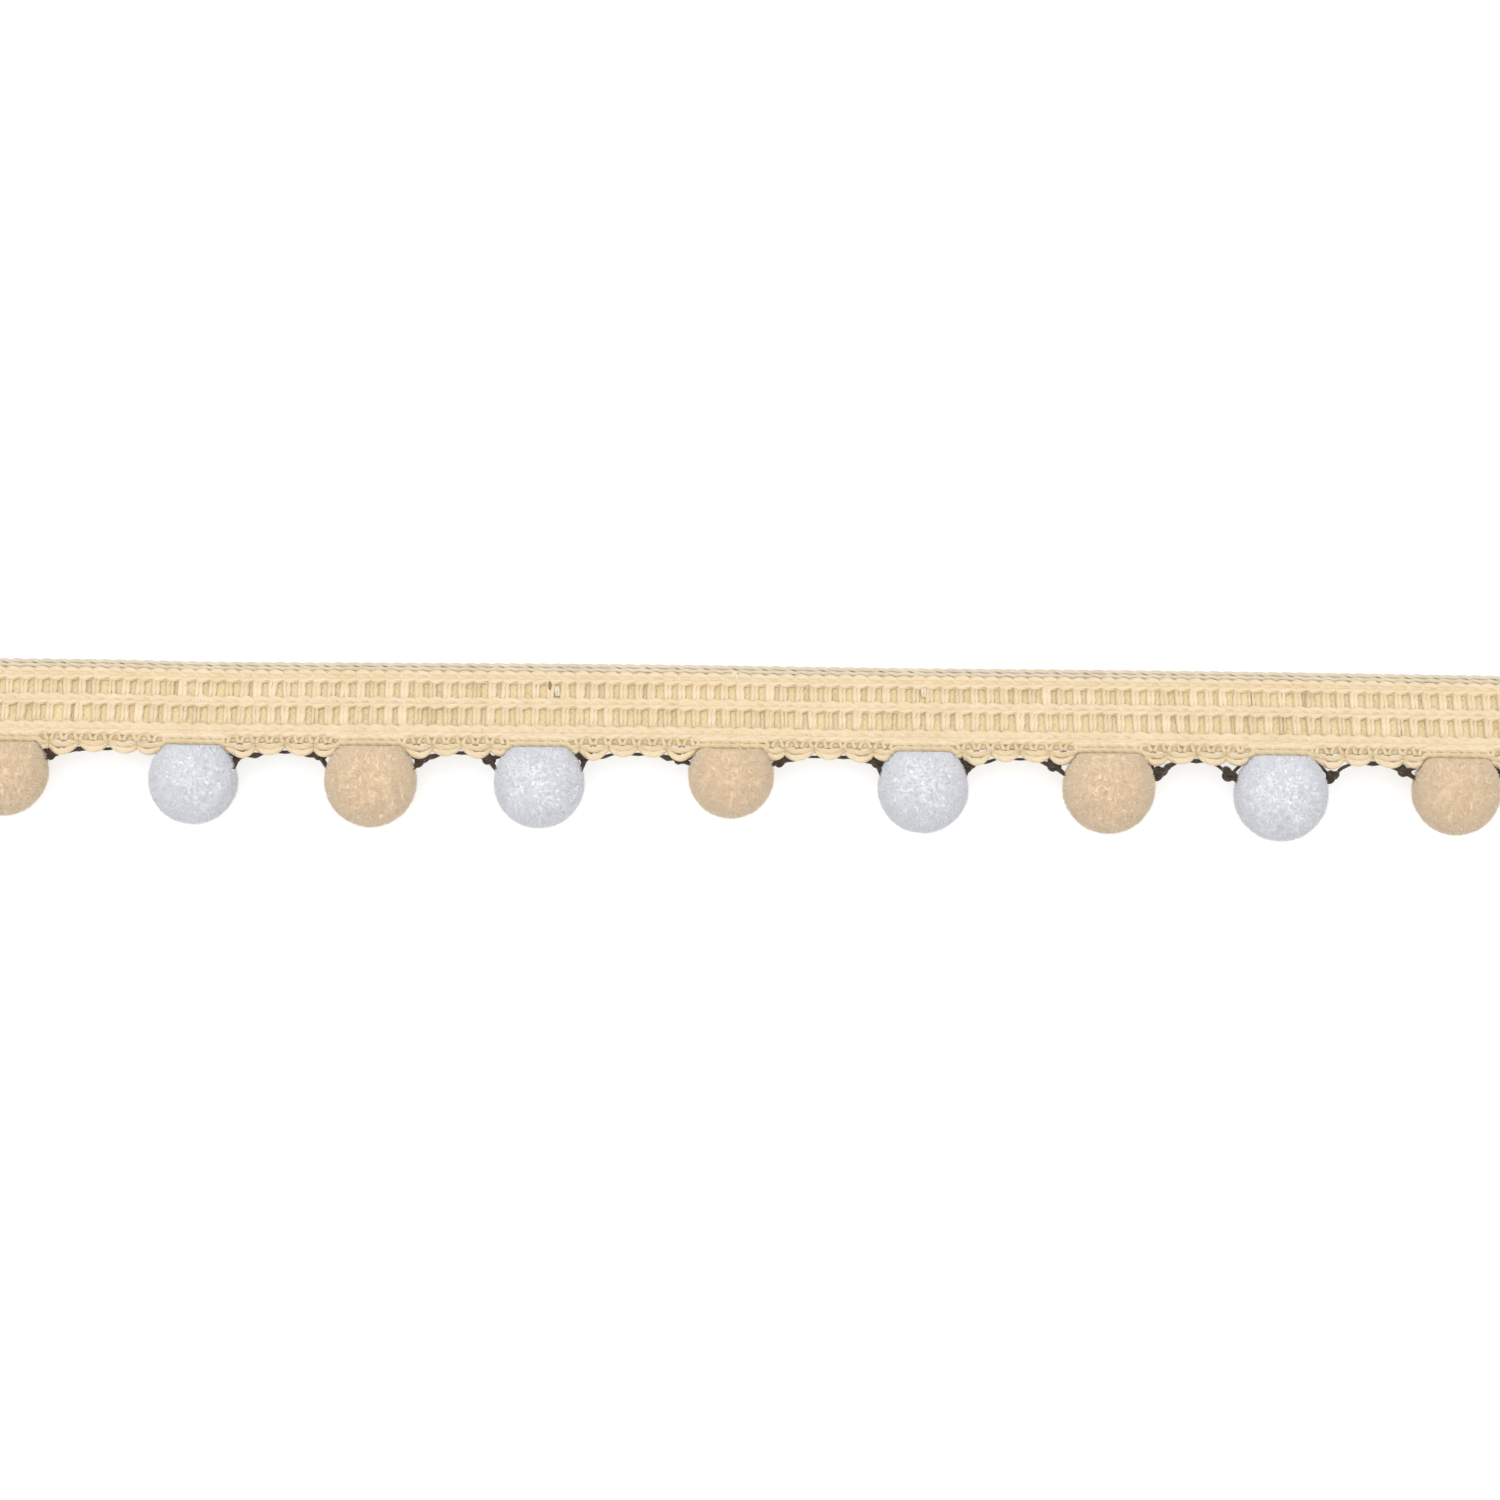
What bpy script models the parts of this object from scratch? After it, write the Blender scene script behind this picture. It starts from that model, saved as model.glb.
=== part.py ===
"""Ball fringe trim: a knitted tape with small pile balls bound along its lower edge.

A cut length lies face up on the surface z = 0. +X runs along the tape, +Y points to its
plain top edge and +Z is up. The top edge lies flat on the surface. From there the tape
rises to the middle height of the balls, which rest on the surface in front of it.
"""

from collections import namedtuple
from itertools import combinations
from math import pi, radians, sqrt, tan
from random import Random

import bmesh
import bpy
from mathutils import Matrix, Vector
from mathutils.geometry import tessellate_polygon

MM = 0.001

# The tape's stitches set its length: each rung is one course of the knitting.
RUNGS = 111
RUNG_PITCH = 1.633 * MM
PICOT_RUNGS = 2
TAPE_LENGTH = RUNGS * RUNG_PITCH
LEFT_END = -92.8 * MM

# The tape's section, measured across the tape as seen from above.
TAPE_THICKNESS = 1.4 * MM
EDGE_THICKNESS = 1.0 * MM
PICOT_THICKNESS = 1.0 * MM
WOVEN_WIDTH = 9.1 * MM
BOUND_LINE = 8.95 * MM
PICOT_REACH = 1.25 * MM
PICOT_NOTCH = 0.15 * MM
PICOT_SHOULDER = 0.8
FOOT_WIDTH = 0.9 * MM
BEND_WIDTH = 1.8 * MM
TAPE_SLOPE = radians(26.5)
RUNG_RELIEF = 0.15 * MM

# Between two balls the tape's lower edge sinks by this share of its height.
SINK_SHARE = 0.12
SINK_STARTS = 5.5 * MM
SINK_DEEPEST = 10.0 * MM

# Gaps between the pieces.
SEAT_GAP = 0.3 * MM
PICOT_GAP = 0.45 * MM

# A ball's locks, as shares of its radius and of a lock's width.
CORE_SHARE = 0.64
SHOULDER_SHARE = 0.91
CROWN_SHARE = 0.985
ROOT_INSET = 0.10
SHOULDER_INSET = 0.12
CROWN_INSET = 0.5
REACH_SPREAD = 0.02
FLAT_SPOT_DEPTH = 0.35 * MM

TAPE_COLOUR = (0.80, 0.65, 0.42)
WHITE_COLOUR = (0.78, 0.78, 0.84)
TAN_COLOUR = (0.79, 0.60, 0.37)
YARN_ROUGHNESS = 0.85
PILE_ROUGHNESS = 0.95

# The top edge's height in plan at places along the tape, with its slight bow.
EdgePoint = namedtuple("EdgePoint", "along across")
EDGE_POINTS = (
    EdgePoint(-92.8 * MM, 0.90 * MM),
    EdgePoint(-72.0 * MM, 0.70 * MM),
    EdgePoint(-61.0 * MM, 0.44 * MM),
    EdgePoint(-41.0 * MM, 0.33 * MM),
    EdgePoint(-11.0 * MM, 0.11 * MM),
    EdgePoint(15.5 * MM, -0.28 * MM),
    EdgePoint(39.0 * MM, -0.50 * MM),
    EdgePoint(61.0 * MM, -0.78 * MM),
    EdgePoint(88.5 * MM, -1.25 * MM),
)

# The tape's face, from its top edge down: how far below the edge each line of points
# lies, how far it stands over the plain face, and what runs along it.
SMOOTH, RUNG = "smooth", "rung"
FaceLine = namedtuple("FaceLine", "below lift kind")
FACE_LINES = (
    FaceLine(0.30 * MM, -0.02 * MM, SMOOTH),
    FaceLine(0.60 * MM, -0.20 * MM, SMOOTH),
    FaceLine(1.05 * MM, 0.12 * MM, SMOOTH),
    FaceLine(1.70 * MM, 0.12 * MM, SMOOTH),
    FaceLine(2.10 * MM, -0.18 * MM, SMOOTH),
    FaceLine(2.40 * MM, 0.00 * MM, RUNG),
    FaceLine(3.60 * MM, 0.00 * MM, RUNG),
    FaceLine(3.90 * MM, -0.18 * MM, SMOOTH),
    FaceLine(4.35 * MM, 0.14 * MM, SMOOTH),
    FaceLine(4.80 * MM, -0.18 * MM, SMOOTH),
    FaceLine(5.10 * MM, 0.00 * MM, RUNG),
    FaceLine(6.40 * MM, 0.00 * MM, RUNG),
    FaceLine(6.70 * MM, -0.18 * MM, SMOOTH),
    FaceLine(7.10 * MM, 0.14 * MM, SMOOTH),
    FaceLine(7.65 * MM, 0.14 * MM, SMOOTH),
    FaceLine(8.10 * MM, -0.15 * MM, SMOOTH),
    FaceLine(8.60 * MM, -0.28 * MM, SMOOTH),
)

# The balls: place along the tape, centre below the tape's top edge, radius and colour.
Ball = namedtuple("Ball", "along below radius pile")
BALLS = (
    Ball(-82.9 * MM, 12.5 * MM, 5.1 * MM, "tan_pile"),
    Ball(-61.8 * MM, 13.2 * MM, 5.0 * MM, "white_pile"),
    Ball(-42.1 * MM, 13.2 * MM, 5.2 * MM, "tan_pile"),
    Ball(-23.4 * MM, 13.3 * MM, 5.1 * MM, "white_pile"),
    Ball(-2.1 * MM, 12.3 * MM, 4.8 * MM, "tan_pile"),
    Ball(19.2 * MM, 13.3 * MM, 5.1 * MM, "white_pile"),
    Ball(39.8 * MM, 13.1 * MM, 5.2 * MM, "tan_pile"),
    Ball(58.9 * MM, 13.6 * MM, 5.3 * MM, "white_pile"),
    Ball(78.4 * MM, 12.9 * MM, 5.0 * MM, "tan_pile"),
)

# The form that parts the balls' pile behind the tape's lower edge.
PART_BACK = 4.0 * MM
PART_TOP = 14.0 * MM


def clear_scene():
    for item in list(bpy.data.objects):
        bpy.data.objects.remove(item, do_unlink=True)


def make_material(name, colour, roughness):
    material = bpy.data.materials.new(name)
    material.use_nodes = True
    shader = material.node_tree.nodes["Principled BSDF"]
    shader.inputs["Base Color"].default_value = (*colour, 1.0)
    shader.inputs["Roughness"].default_value = roughness
    shader.inputs["Metallic"].default_value = 0.0
    return material


def smooth_step(value):
    value = min(max(value, 0.0), 1.0)
    return value * value * (3.0 - 2.0 * value)


def edge_across(along):
    """The top edge's Y at a place along the tape, on a smooth curve through its points."""
    points = EDGE_POINTS
    last = len(points) - 1
    start = 0
    while start < last - 1 and along > points[start + 1].along:
        start += 1
    before = points[max(start - 1, 0)]
    a = points[start]
    b = points[start + 1]
    after = points[min(start + 2, last)]
    span = b.along - a.along
    share = (along - a.along) / span
    slope_a = (b.across - before.across) / (b.along - before.along) * span
    slope_b = (after.across - a.across) / (after.along - a.along) * span
    square = share * share
    cube = square * share
    return (
        (2 * cube - 3 * square + 1) * a.across
        + (cube - 2 * square + share) * slope_a
        + (3 * square - 2 * cube) * b.across
        + (cube - square) * slope_b
    )


def sink(along):
    """How far the tape has sunk between two balls, from 0 at a ball to SINK_SHARE."""
    nearest = min(abs(along - ball.along) for ball in BALLS)
    share = (nearest - SINK_STARTS) / (SINK_DEEPEST - SINK_STARTS)
    return SINK_SHARE * smooth_step(share)


def back_height(along, below):
    """The height of the tape's back: flat on its foot, then a bend, then a straight slope."""
    run = max(below - FOOT_WIDTH, 0.0)
    if run < BEND_WIDTH:
        height = tan(TAPE_SLOPE) * run * run / (2 * BEND_WIDTH)
    else:
        height = tan(TAPE_SLOPE) * (run - BEND_WIDTH / 2)
    return height * (1.0 - sink(along))


def tape_point(along, below, over):
    """A point over the tape's back, at a place along the tape and below its top edge."""
    return Vector((along, edge_across(along) - below, back_height(along, below) + over))


def picot_tip(column, along):
    """How far below the top edge the lower edge reaches, kept clear of the balls."""
    columns = 2 * PICOT_RUNGS
    if column % columns == 0:
        reach = PICOT_NOTCH
    elif column % columns == columns // 2:
        reach = PICOT_REACH
    else:
        reach = PICOT_SHOULDER * PICOT_REACH
    tip = WOVEN_WIDTH + reach
    for ball in BALLS:
        clear = ball.radius + PICOT_GAP
        aside = abs(along - ball.along)
        if aside < clear:
            tip = min(tip, ball.below - sqrt(clear * clear - aside * aside))
    return max(tip, WOVEN_WIDTH)


def stitch(mesh, upper, lower):
    """Fill the strip between two lines of points that start and end together."""
    i = j = 0
    while i < len(upper) - 1 or j < len(lower) - 1:
        step_upper = j == len(lower) - 1 or (
            i < len(upper) - 1 and upper[i + 1].co.x <= lower[j + 1].co.x
        )
        if step_upper:
            mesh.faces.new((upper[i], lower[j], upper[i + 1]))
            i += 1
        else:
            mesh.faces.new((upper[i], lower[j], lower[j + 1]))
            j += 1


def close_end(mesh, outline):
    """Fill the tape's plain cut end."""
    flat = [Vector((point.co.y / MM, point.co.z / MM, 0.0)) for point in outline]
    for corners in tessellate_polygon([flat]):
        mesh.faces.new([outline[i] for i in corners])


def finish_mesh(mesh, name):
    bmesh.ops.recalc_face_normals(mesh, faces=mesh.faces)
    data = bpy.data.meshes.new(name)
    mesh.to_mesh(data)
    mesh.free()
    return data


def add_object(name, data, material, parent):
    thing = bpy.data.objects.new(name, data)
    bpy.context.scene.collection.objects.link(thing)
    thing.parent = parent
    if material:
        data.materials.append(material)
    return thing


def make_tape(material, parent):
    """The tape: ribs along it, rungs across two bands and picots along its lower edge."""
    half_rung = RUNG_PITCH / 2
    fine = [LEFT_END + i * half_rung for i in range(2 * RUNGS + 1)]
    coarse = fine[:: 2 * PICOT_RUNGS]
    if coarse[-1] != fine[-1]:
        coarse.append(fine[-1])
    mesh = bmesh.new()

    def line(places, below, over):
        return [mesh.verts.new(tape_point(place, below, over)) for place in places]

    lines = [line(coarse, 0.0, EDGE_THICKNESS)]
    for face in FACE_LINES:
        over = TAPE_THICKNESS + face.lift
        if face.kind == SMOOTH:
            lines.append(line(coarse, face.below, over))
            continue
        lines.append([
            mesh.verts.new(tape_point(place, face.below, over + RUNG_RELIEF * (-1) ** (i + 1)))
            for i, place in enumerate(fine)
        ])
    lines.append(line(fine, BOUND_LINE, TAPE_THICKNESS))
    tips = [picot_tip(i, place) for i, place in enumerate(fine)]
    lip = (TAPE_THICKNESS - PICOT_THICKNESS) / 2
    for over in (lip + PICOT_THICKNESS, lip):
        lines.append([
            mesh.verts.new(tape_point(place, tip, over)) for place, tip in zip(fine, tips)
        ])
    bend_end = FOOT_WIDTH + BEND_WIDTH
    bend_middle = FOOT_WIDTH + BEND_WIDTH / 2
    for below in (WOVEN_WIDTH, bend_end, bend_middle, FOOT_WIDTH, 0.0):
        lines.append(line(coarse, below, 0.0))
    for upper, lower in zip(lines, lines[1:] + lines[:1]):
        stitch(mesh, upper, lower)
    close_end(mesh, [points[0] for points in lines])
    close_end(mesh, [points[-1] for points in lines])
    return add_object("tape", finish_mesh(mesh, "tape"), material, parent)


def lock_corners():
    """The corners of the locks: one lock for each edge of an icosahedron, with four sides.

    Each lock runs between the edge's two ends and the centres of the faces beside it."""
    golden = (1 + sqrt(5)) / 2
    corners = []
    for a in (-1, 1):
        for b in (-golden, golden):
            corners += [Vector((0, a, b)), Vector((a, b, 0)), Vector((b, 0, a))]
    edge_length = 2.0
    faces = [
        trio for trio in combinations(range(len(corners)), 3)
        if all(
            (corners[i] - corners[j]).length < 1.01 * edge_length
            for i, j in combinations(trio, 2)
        )
    ]
    directions = [corner.normalized() for corner in corners]
    directions += [sum((corners[i] for i in trio), Vector()).normalized() for trio in faces]
    locks = []
    for i, j in combinations(range(len(corners)), 2):
        beside = [
            len(corners) + k for k, trio in enumerate(faces) if i in trio and j in trio
        ]
        if len(beside) == 2:
            locks.append((i, beside[0], j, beside[1]))
    return directions, locks


def make_ball_mesh(ball, name, seed):
    """A ball of locks that stand on one core, shorter where they meet the surface."""
    chance = Random(seed)
    turn = Matrix.Rotation(chance.uniform(0, 2 * pi), 3, "Z")
    directions, locks = lock_corners()
    directions = [turn @ direction for direction in directions]
    middle = ball.radius - FLAT_SPOT_DEPTH
    mesh = bmesh.new()

    def point(direction, reach):
        place = direction.normalized() * reach
        if place.z < -middle:
            place *= middle / -place.z
            place.z = -middle
        return mesh.verts.new(place)

    floor = [point(direction, CORE_SHARE * ball.radius) for direction in directions]
    for lock in locks:
        centre = sum((directions[k] for k in lock), Vector()).normalized()
        reach = ball.radius * (1 + REACH_SPREAD * chance.uniform(-1, 1))
        rings = [[floor[k] for k in lock]]
        for inset, share in (
            (ROOT_INSET, CORE_SHARE),
            (SHOULDER_INSET, SHOULDER_SHARE),
            (CROWN_INSET, CROWN_SHARE),
        ):
            size = reach if share > CORE_SHARE else ball.radius
            rings.append([point(directions[k].lerp(centre, inset), share * size) for k in lock])
        for inner, outer in zip(rings, rings[1:]):
            for k in range(4):
                after = (k + 1) % 4
                mesh.faces.new((inner[k], inner[after], outer[after], outer[k]))
        top = point(centre, reach)
        for k in range(4):
            mesh.faces.new((rings[-1][k], rings[-1][(k + 1) % 4], top))
    bmesh.ops.triangulate(mesh, faces=mesh.faces)
    return finish_mesh(mesh, name)


def make_parting(parent):
    """The space behind and over the tape's lower edge, which the balls' pile leaves free."""
    wall = WOVEN_WIDTH + SEAT_GAP
    places = [LEFT_END + i * TAPE_LENGTH / RUNGS for i in range(RUNGS + 1)]
    mesh = bmesh.new()
    lines = []
    for below in (PART_BACK, wall):
        lines.append([mesh.verts.new(tape_point(x, below, -SEAT_GAP)) for x in places])
    for below in (wall, PART_BACK):
        lines.append([
            mesh.verts.new((x, edge_across(x) - below, PART_TOP)) for x in places
        ])
    for upper, lower in zip(lines, lines[1:] + lines[:1]):
        stitch(mesh, upper, lower)
    mesh.faces.new([points[0] for points in lines])
    mesh.faces.new([points[-1] for points in lines])
    cutter = add_object("parting", finish_mesh(mesh, "parting"), None, parent)
    cutter.hide_render = True
    cutter.display_type = "WIRE"
    return cutter


def make_balls(materials, parting, parent):
    balls = []
    for number, ball in enumerate(BALLS, start=1):
        name = f"pompom_{number}"
        data = make_ball_mesh(ball, name, seed=number)
        thing = add_object(name, data, materials[ball.pile], parent)
        across = edge_across(ball.along) - ball.below
        thing.location = (ball.along, across, ball.radius - FLAT_SPOT_DEPTH)
        cut = thing.modifiers.new("seat under the tape", "BOOLEAN")
        cut.operation = "DIFFERENCE"
        cut.solver = "EXACT"
        cut.object = parting
        balls.append(thing)
    return balls


def centre_on_surface(parent, things):
    """Move the parent so that the middle of the trim's box stands over the origin."""
    bpy.context.view_layer.update()
    corners = [
        thing.matrix_world @ vertex.co for thing in things for vertex in thing.data.vertices
    ]
    for axis in range(2):
        values = [corner[axis] for corner in corners]
        parent.location[axis] = -(min(values) + max(values)) / 2


def build():
    clear_scene()
    materials = {
        "tape_yarn": make_material("tape_yarn", TAPE_COLOUR, YARN_ROUGHNESS),
        "white_pile": make_material("white_pile", WHITE_COLOUR, PILE_ROUGHNESS),
        "tan_pile": make_material("tan_pile", TAN_COLOUR, PILE_ROUGHNESS),
    }
    trim = bpy.data.objects.new("trim", None)
    bpy.context.scene.collection.objects.link(trim)
    tape = make_tape(materials["tape_yarn"], trim)
    parting = make_parting(trim)
    balls = make_balls(materials, parting, trim)
    centre_on_surface(trim, [tape] + balls)


build()
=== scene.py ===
"""The looks of a ball fringe trim: a knitted tape of separate yarns, and balls of cut pile.

Everything is in metres, in the part's own frame: +X along the tape, +Y to its plain top
edge, +Z up. The yarns follow the tape's solid, and each ball's pile follows its own.
"""

from collections import namedtuple
from math import pi, radians, sqrt, tan

import bmesh
import bpy
import numpy as np
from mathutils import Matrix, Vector, noise


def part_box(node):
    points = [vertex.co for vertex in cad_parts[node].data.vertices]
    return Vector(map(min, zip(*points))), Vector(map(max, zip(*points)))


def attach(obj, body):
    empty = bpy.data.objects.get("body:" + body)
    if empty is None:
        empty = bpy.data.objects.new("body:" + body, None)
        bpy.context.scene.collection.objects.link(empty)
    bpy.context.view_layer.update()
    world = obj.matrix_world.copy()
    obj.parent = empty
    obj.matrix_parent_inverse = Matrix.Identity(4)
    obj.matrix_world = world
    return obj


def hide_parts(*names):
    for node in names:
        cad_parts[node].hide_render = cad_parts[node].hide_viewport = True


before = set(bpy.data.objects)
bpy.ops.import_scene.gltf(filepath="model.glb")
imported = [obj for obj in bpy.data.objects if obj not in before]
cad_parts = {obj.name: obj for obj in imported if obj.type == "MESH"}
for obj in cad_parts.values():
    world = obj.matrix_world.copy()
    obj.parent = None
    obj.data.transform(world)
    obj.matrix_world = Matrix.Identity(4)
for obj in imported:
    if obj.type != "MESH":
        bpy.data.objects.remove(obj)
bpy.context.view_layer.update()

MM = 0.001
UP = np.array((0.0, 0.0, 1.0))

# The tape's stitches, as in the solid.
RUNGS = 111
RUNG_PITCH = 1.633 * MM
PICOT_PITCH = 2 * RUNG_PITCH
TAPE_LENGTH = RUNGS * RUNG_PITCH
LEFT_END = -92.8 * MM
RIGHT_END = LEFT_END + TAPE_LENGTH

# The tape's section, as in the solid, measured across the tape as seen from above.
FOOT_WIDTH = 0.9 * MM
BEND_WIDTH = 1.8 * MM
TAPE_SLOPE = radians(26.5)
WOVEN_WIDTH = 9.1 * MM

# Away from the balls the tape sinks by a share of its height. The two distances, from the
# nearest ball's middle, are where the sinking starts and where it is deepest.
SINK_SHARE = 0.12
SINK_STARTS = 5.5 * MM
SINK_DEEPEST = 10.0 * MM

# The ground's layers, measured up from the tape's back, and its lines, down from the top edge.
GROUND_LOW = 0.50 * MM
GROUND_HIGH = 1.02 * MM
GROUND_EDGE_HIGH = 0.75 * MM
GROUND_LINES = (0.12, 0.9, 1.8, 2.7, 3.7, 4.8, 6.0, 7.2, 8.4, 9.05)

# The yarns' courses and picots lie a little before the solid's, as the picture has them.
RUNG_SHIFT = -0.54 * MM
PICOT_SHIFT = -1.31 * MM
COURSES = LEFT_END + (np.arange(RUNGS) + 0.5) * RUNG_PITCH + RUNG_SHIFT

# The ribs of chain stitches: the middle of each below the top edge, its width, its yarn.
Wale = namedtuple("Wale", "below width thick")
WALES = (
    Wale(1.62 * MM, 1.65 * MM, 0.36 * MM),
    Wale(4.50 * MM, 1.45 * MM, 0.33 * MM),
    Wale(7.68 * MM, 1.60 * MM, 0.35 * MM),
)
WALE_TONE = 0.8

# A rib's laid-in cord: its height, its share of the rib's width, and how flat it is.
CORD_HEIGHT = 1.11 * MM
CORD_SHARE = 0.42
CORD_FLATNESS = 0.45

# The two legs of a chain stitch, in courses: they overlap the next stitch. They rise over
# the ground, and dip where they come out of the last stitch.
LEG_LENGTH = 1.35
LEG_START = 0.35
LEG_RISE = 0.30 * MM
LEG_DIP = 0.22 * MM

# The bands of upright rungs between the ribs, from and to these places below the top edge.
Band = namedtuple("Band", "top low")
LADDERS = (Band(2.1 * MM, 4.1 * MM), Band(4.85 * MM, 7.1 * MM))
RUNG_YARN = 0.325 * MM
RUNG_STRAND_ASIDE = 0.2 * MM
RUNG_END_HEIGHT = 0.93 * MM
RUNG_RISE = 0.30 * MM

# The threads that bind the plain top edge: two on its face and one under it. Their turns
# set their waves apart.
EdgeThread = namedtuple("EdgeThread", "below height turn")
SELVEDGE = (
    EdgeThread(0.26 * MM, 0.86 * MM, 0.0),
    EdgeThread(0.68 * MM, 1.04 * MM, 2.0),
    EdgeThread(0.24 * MM, 0.36 * MM, 1.0),
)
SELVEDGE_YARN = 0.25 * MM

# Within this distance of a ball's middle the tape is drawn tight over the ball.
TIGHT_WITHIN = 5.0 * MM
TIGHT_FADE = 2.2 * MM

# The recessed band under the lowest rib, down to the woven edge.
LACING_TOP = 7.9 * MM
LACING_YARN = 0.26 * MM

# The picots' reach below the woven edge, their gap to the balls, and how much lower the ones
# beside a ball hang.
PICOT_REACH = 1.35 * MM
PICOT_GAP = 0.1 * MM
PICOT_DROOP = 0.42 * MM
DROOP_PLACE = 6.0 * MM
DROOP_WIDTH = 1.4 * MM

# Each picot is an outer and an inner loop.
Loop = namedtuple("Loop", "reach thick height tone")
PICOT_LOOPS = (
    Loop(1.0, 0.38 * MM, 0.80 * MM, 0.85),
    Loop(0.4, 0.36 * MM, 1.00 * MM, 0.55),
)

# The weft's returns on the tape's back, and the lines of the wales' underlaps.
RETURNS = (Band(1.2 * MM, 4.4 * MM), Band(4.2 * MM, 7.6 * MM))
RETURN_YARN = 0.28 * MM
UNDERLAPS = (0.75, 1.35, 4.35, 7.2, 7.8, 8.7)
UNDERLAP_YARN = 0.3 * MM
UNDERLAP_HEIGHT = 0.36 * MM

# Loose fibres over the tape's face.
FUZZ_FIBRES = 1000
FUZZ_RADIUS = 0.022 * MM

# The balls' pile.
FLAT_SPOT_DEPTH = 0.35 * MM
CORE_SHARE = 0.925
ROOT_SHARE = 0.86
PILE_DEPTH = 0.3 * MM
FIBRES = 20000
FIBRE_RADIUS = 0.105 * MM
FIBRE_REACH = 0.995
FIBRE_LEAN = 0.055
# The core and the fibres' roots are darker than the tips: painted shade deep in the pile.
CORE_TONE = 0.3
ROOT_TONE = 0.75
TIP_TONE = 0.9

# Down to this line below the top edge, pile keeps a gap to the tape's back.
PILE_WALL = 9.3 * MM
PILE_GAP = 0.12 * MM

# The top edge's places along the tape, each with its Y there, as in the solid.
EdgePoint = namedtuple("EdgePoint", "along across")
EDGE_POINTS = (
    EdgePoint(-92.8 * MM, 0.90 * MM),
    EdgePoint(-72.0 * MM, 0.70 * MM),
    EdgePoint(-61.0 * MM, 0.44 * MM),
    EdgePoint(-41.0 * MM, 0.33 * MM),
    EdgePoint(-11.0 * MM, 0.11 * MM),
    EdgePoint(15.5 * MM, -0.28 * MM),
    EdgePoint(39.0 * MM, -0.50 * MM),
    EdgePoint(61.0 * MM, -0.78 * MM),
    EdgePoint(88.5 * MM, -1.25 * MM),
)

# The balls: how far along the tape and below its top edge each one's middle is, its
# radius, and its pile's slot.
Ball = namedtuple("Ball", "along below radius pile")
BALLS = (
    Ball(-82.9 * MM, 12.5 * MM, 5.1 * MM, "tan_pile"),
    Ball(-61.8 * MM, 13.2 * MM, 5.0 * MM, "white_pile"),
    Ball(-42.1 * MM, 13.2 * MM, 5.2 * MM, "tan_pile"),
    Ball(-23.4 * MM, 13.3 * MM, 5.1 * MM, "white_pile"),
    Ball(-2.1 * MM, 12.3 * MM, 4.8 * MM, "tan_pile"),
    Ball(19.2 * MM, 13.3 * MM, 5.1 * MM, "white_pile"),
    Ball(39.8 * MM, 13.1 * MM, 5.2 * MM, "tan_pile"),
    Ball(58.9 * MM, 13.6 * MM, 5.3 * MM, "white_pile"),
    Ball(78.4 * MM, 12.9 * MM, 5.0 * MM, "tan_pile"),
)

# Dark knots of thread at each ball's left and right shoulder, painted shade in the crevices there:
# how far from the ball's middle, how far below the tape's top edge, and their size. One doesn't
# show.
ShadeKnot = namedtuple("ShadeKnot", "beside below size")
SHADE_KNOTS = (
    (ShadeKnot(5.40 * MM, 10.50 * MM, 1.0), ShadeKnot(5.51 * MM, 10.49 * MM, 1.0)),
    (None, ShadeKnot(4.98 * MM, 10.42 * MM, 1.05)),
    (ShadeKnot(5.74 * MM, 10.27 * MM, 0.95), ShadeKnot(5.58 * MM, 10.76 * MM, 1.2)),
    (ShadeKnot(5.68 * MM, 10.63 * MM, 1.0), ShadeKnot(5.15 * MM, 10.36 * MM, 0.85)),
    (ShadeKnot(5.75 * MM, 10.52 * MM, 0.8), ShadeKnot(5.60 * MM, 10.46 * MM, 1.0)),
    (ShadeKnot(5.10 * MM, 10.57 * MM, 0.8), ShadeKnot(5.10 * MM, 10.80 * MM, 1.0)),
    (ShadeKnot(6.10 * MM, 10.70 * MM, 1.0), ShadeKnot(5.62 * MM, 11.42 * MM, 1.15)),
    (ShadeKnot(5.76 * MM, 11.50 * MM, 1.2), ShadeKnot(5.62 * MM, 11.55 * MM, 1.0)),
    (ShadeKnot(5.81 * MM, 10.80 * MM, 0.95), ShadeKnot(5.10 * MM, 10.50 * MM, 0.9)),
)
SHADE_KNOT_YARN = 0.27 * MM
SHADE_KNOT_TURNS = np.array((0.72, 0.48, 0.28)) * MM

# A dark tail of painted shade leads from each knot into the ball: to this share of its radius, and
# this angle below its middle.
TAIL_SHARE = 0.93
TAIL_LOW = radians(15)
TAIL_THICK = 0.36 * MM
TAIL_THIN = 0.20 * MM

# The dark thread between the knots, painted shade under the picots: how far below the woven edge it
# runs, away from the balls and near them, and its height over the tape's back.
THREAD_BELOW = 0.95 * MM
THREAD_BELOW_NEAR = 1.33 * MM
THREAD_NEAR = 8.4 * MM
THREAD_NEAR_FADE = 1.6 * MM
THREAD_HEIGHT = 0.42 * MM
THREAD_GAP = 0.15 * MM
SHADE_KNOT_PULL_WIDTH = 0.85 * MM

# Before the second ball the thread is tucked up behind the picots.
THREAD_TUCKED = -67.5 * MM
TUCK_DEPTH = 1.1 * MM
TUCK_WIDTH = 2.2 * MM

# Places along the tape and below its top edge where a pair of pale tie strands shows, and the one
# place where a dark strand between two rungs is painted shade of a hole in the tape.
Tie = namedtuple("Tie", "along below")
PALE_TIES = (
    Tie(-61.2 * MM, 4.2 * MM),
    Tie(-21.5 * MM, 3.1 * MM),
    Tie(-1.7 * MM, 1.2 * MM),
    Tie(19.4 * MM, 2.7 * MM),
)
HOLE_SHADE = Tie(-22.35 * MM, 2.45 * MM)

# The solids are centred over the origin, so the tape's box gives the shift.
TAPE_LOW, TAPE_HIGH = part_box("tape")
SHIFT = Vector((
    TAPE_LOW[0] - LEFT_END,
    TAPE_HIGH[1] - EDGE_POINTS[0].across,
    0.0,
))

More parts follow.
